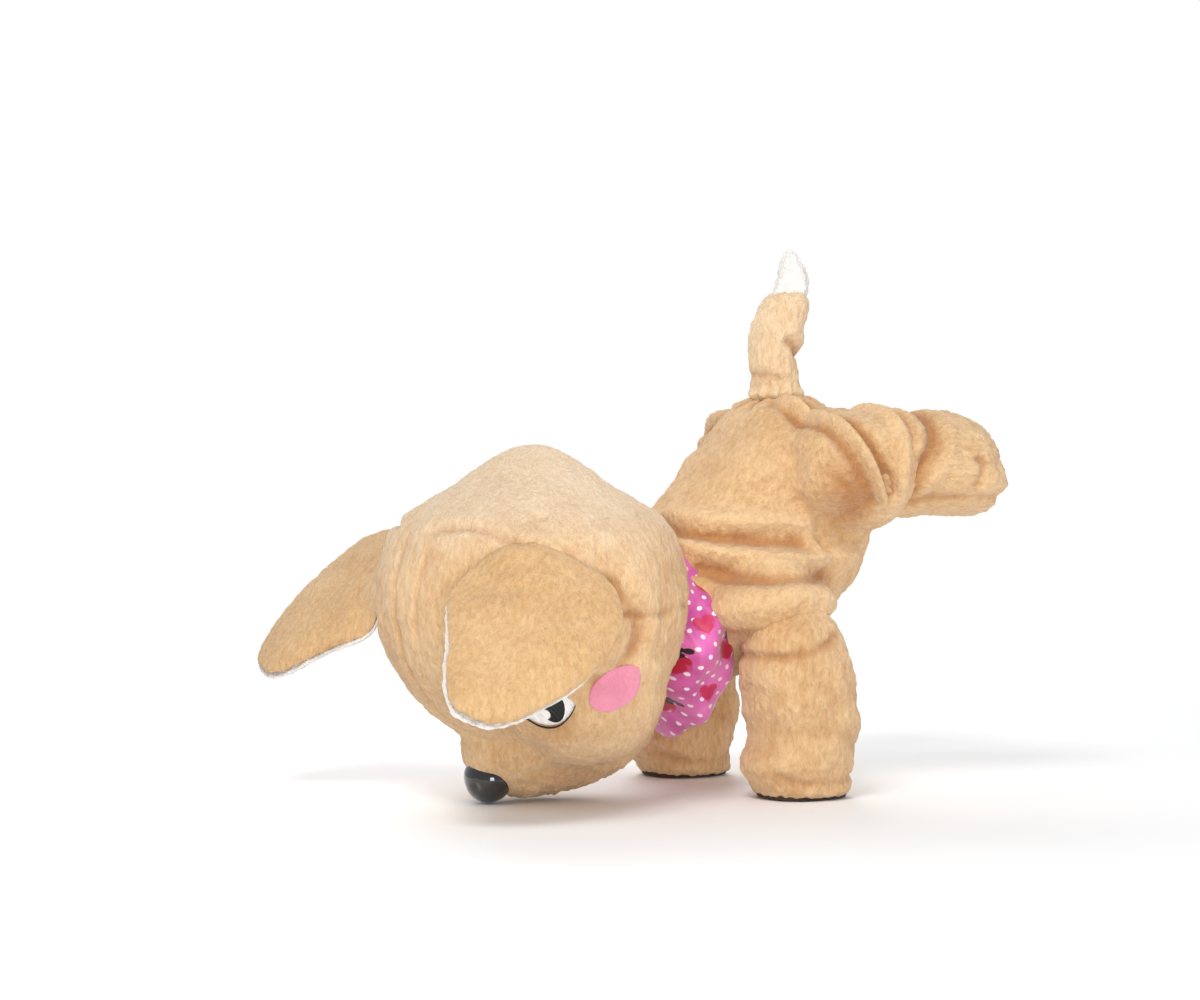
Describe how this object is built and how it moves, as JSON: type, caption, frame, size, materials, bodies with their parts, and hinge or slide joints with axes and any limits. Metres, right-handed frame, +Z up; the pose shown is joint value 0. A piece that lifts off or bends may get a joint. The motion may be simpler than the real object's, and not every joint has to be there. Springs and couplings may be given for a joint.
{
  "type": "interactive plush pet",
  "caption": "Plush puppy that tips up onto its front paws and nose and kicks its hind legs, with a motor drive and battery tray inside a soft body.",
  "frame": {"origin": "on the floor under the middle of the whole toy", "axes": "-X the way the puppy's head points, +Z up, its left side towards -Y; rest is the handstand on both front paws and the nose"},
  "size_m": [0.3377, 0.2265, 0.264],
  "materials": {
    "plush": "short-pile tan plush",
    "lining": "white short-pile plush",
    "blush": "pink felt",
    "embroidery": "white satin-stitch embroidery with a black pupil",
    "satin": "printed pink satin",
    "stuffing": "polyester fibre",
    "nose_plastic": "gloss black",
    "sole_plastic": "matt dark brown",
    "casing_plastic": "matt grey",
    "gear_plastic": "natural white",
    "black_plastic": "matt black",
    "steel": "bright",
    "cell": "printed sleeve",
    "board": "solder-resist green"
  },
  "bodies": {
    "torso": {"torso_skin": "plush", "scarf": "satin", "head_skin": "plush", "head_stuffing": "stuffing", "neck_post": "casing_plastic", "touch_sensor": "steel", "nose": "nose_plastic", "nose_washer": "gear_plastic", "eye_patch_left": "embroidery", "eye_patch_right": "embroidery", "cheek_patch_left": "blush", "cheek_patch_right": "blush", "ear_left": "plush", "ear_right": "plush", "ear_lining_left": "lining", "ear_lining_right": "lining", "casing_left": "casing_plastic", "casing_right": "casing_plastic", "casing_screw_1": "steel", "casing_screw_2": "steel", "casing_screw_3": "steel", "battery_tray": "casing_plastic", "battery_1": "cell", "battery_2": "cell", "battery_3": "cell", "contact_plate_front": "steel", "contact_plate_rear": "steel", "switch_housing": "black_plastic", "circuit_board": "board", "loudspeaker": "black_plastic", "front_motor": "steel", "rear_motor": "steel"},
    "front_legs": {"shoulder_axle": "steel", "front_sector": "gear_plastic", "front_leg_frame_left": "casing_plastic", "front_leg_frame_right": "casing_plastic", "front_leg_skin_left": "plush", "front_leg_skin_right": "plush", "paw_sole_left": "sole_plastic", "paw_sole_right": "sole_plastic"},
    "hind_legs": {"hip_axle": "steel", "rear_sector": "gear_plastic", "hind_leg_frame_left": "casing_plastic", "hind_leg_frame_right": "casing_plastic", "hind_leg_skin_left": "plush", "hind_leg_skin_right": "plush"},
    "tail": {"tail_core": "steel", "tail_skin": "plush", "tail_tip": "lining"},
    "front_drive": {"front_pinion": "gear_plastic", "front_motor_shaft": "steel"},
    "rear_drive": {"rear_pinion": "gear_plastic", "rear_motor_shaft": "steel"},
    "switch_knob": {"power_switch": "black_plastic"},
    "cover": {"battery_cover": "casing_plastic", "cover_screw": "steel"}
  },
  "joints": [
    {"name": "shoulder_swing", "type": "hinge", "parent": "torso", "child": "front_legs", "pos_m": [0.04555, 0, 0.07883], "axis": [0, -1, 0], "range_deg": [-10, 55]},
    {"name": "hip_kick", "type": "hinge", "parent": "torso", "child": "hind_legs", "pos_m": [0.08678, 0, 0.15827], "axis": [0, -1, 0], "range_deg": [-31, 15]},
    {"name": "tail_wag", "type": "hinge", "parent": "torso", "child": "tail", "pos_m": [0.0709, 0, 0.188], "axis": [1, 0, 0], "range_deg": [-20, 20]},
    {"name": "front_pinion_spin", "type": "hinge", "parent": "torso", "child": "front_drive", "pos_m": [0.02857, 0, 0.09359], "axis": [0, -1, 0], "range_deg": [-112, 22]},
    {"name": "rear_pinion_spin", "type": "hinge", "parent": "torso", "child": "rear_drive", "pos_m": [0.07201, 0, 0.14128], "axis": [0, -1, 0], "range_deg": [-32, 64]},
    {"name": "power_switch_slide", "type": "slide", "parent": "torso", "child": "switch_knob", "axis": [0, 1, 0], "range_m": [0, 0.004]},
    {"name": "battery_cover_lift", "type": "slide", "parent": "torso", "child": "cover", "axis": [0.7547, 0, -0.6561], "range_m": [0, 0.03]}
  ],
  "couplings": [
    {"joint": "front_pinion_spin", "follows": "shoulder_swing", "ratio": -2},
    {"joint": "rear_pinion_spin", "follows": "hip_kick", "ratio": -2}
  ]
}
